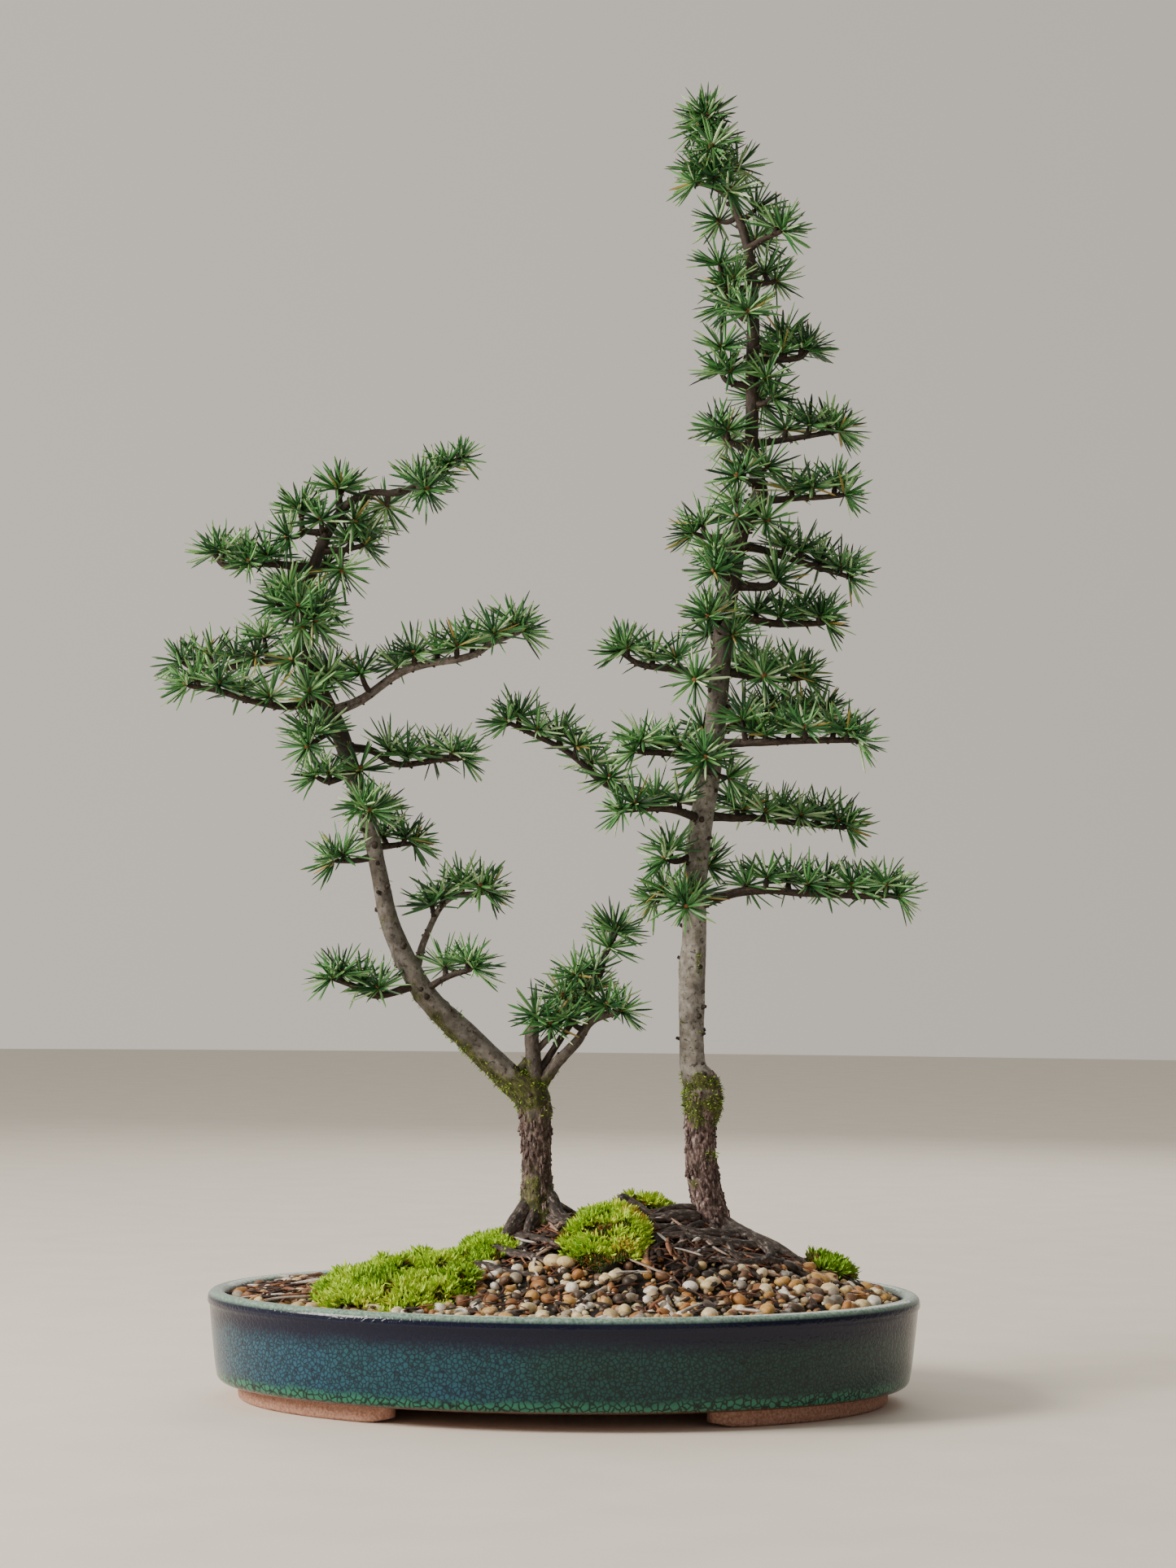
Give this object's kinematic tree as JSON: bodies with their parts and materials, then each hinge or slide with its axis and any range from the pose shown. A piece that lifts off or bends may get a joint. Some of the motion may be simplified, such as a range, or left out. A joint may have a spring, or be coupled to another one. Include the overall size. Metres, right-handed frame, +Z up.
{
  "type": "bonsai trees in a pot",
  "caption": "Oval glazed pot on two feet, filled to a gravel and moss mound, from which a leaning bonsai conifer and a tall upright one grow, with short needled branches.",
  "frame": {"origin": "under the middle of the whole object's box, on the surface the pot's feet stand on", "axes": "+Z up, +X to the right along the pot's length seen from its front, +Y from the front to the back"},
  "size_m": [0.3796, 0.26, 0.6557],
  "materials": {
    "glazed_pot": "gloss",
    "drain_mesh": "matte",
    "soil": "matte",
    "gravel": "matte",
    "moss": "matte",
    "bark": "matte",
    "needles": "satin"
  },
  "bodies": {
    "root": {"drain_mesh_left": "drain_mesh", "drain_mesh_right": "drain_mesh", "gravel": "gravel", "left_tree": "bark", "left_tree_crown_front_needles": "needles", "left_tree_crown_left_needles": "needles", "left_tree_crown_right_needles": "needles", "left_tree_crown_top_needles": "needles", "left_tree_front_spur_needles": "needles", "left_tree_leader_needles": "needles", "left_tree_long_left_back_needles": "needles", "left_tree_long_left_front_needles": "needles", "left_tree_long_right_needles": "needles", "left_tree_low_forward_needles": "needles", "left_tree_low_left_needles": "needles", "left_tree_low_upright_needles": "needles", "left_tree_middle_front_needles": "needles", "left_tree_right_limb_needles": "needles", "left_tree_right_limb_twig_needles": "needles", "left_tree_second_left_needles": "needles", "left_tree_second_right_needles": "needles", "left_tree_third_left_needles": "needles", "left_tree_third_right_needles": "needles", "moss_behind_root": "moss", "moss_beside_left_trunk": "moss", "moss_between_trees": "moss", "moss_front_left": "moss", "moss_right": "moss", "pot": "glazed_pot", "right_tree": "bark", "right_tree_eighth_right_needles": "needles", "right_tree_fifth_left_needles": "needles", "right_tree_fifth_right_needles": "needles", "right_tree_fourth_front_needles": "needles", "right_tree_fourth_right_needles": "needles", "right_tree_leader_needles": "needles", "right_tree_long_left_needles": "needles", "right_tree_low_front_needles": "needles", "right_tree_low_left_needles": "needles", "right_tree_low_right_needles": "needles", "right_tree_middle_back_needles": "needles", "right_tree_middle_front_needles": "needles", "right_tree_middle_left_needles": "needles", "right_tree_middle_right_needles": "needles", "right_tree_ninth_front_needles": "needles", "right_tree_second_left_needles": "needles", "right_tree_second_right_needles": "needles", "right_tree_seventh_left_needles": "needles", "right_tree_seventh_right_needles": "needles", "right_tree_sixth_left_needles": "needles", "right_tree_sixth_right_needles": "needles", "right_tree_tenth_right_needles": "needles", "right_tree_third_left_needles": "needles", "right_tree_top_left_needles": "needles", "right_tree_top_right_needles": "needles", "right_tree_upper_front_needles": "needles", "right_tree_upper_left_needles": "needles", "right_tree_upper_right_needles": "needles", "soil": "soil"}
  },
  "joints": []
}
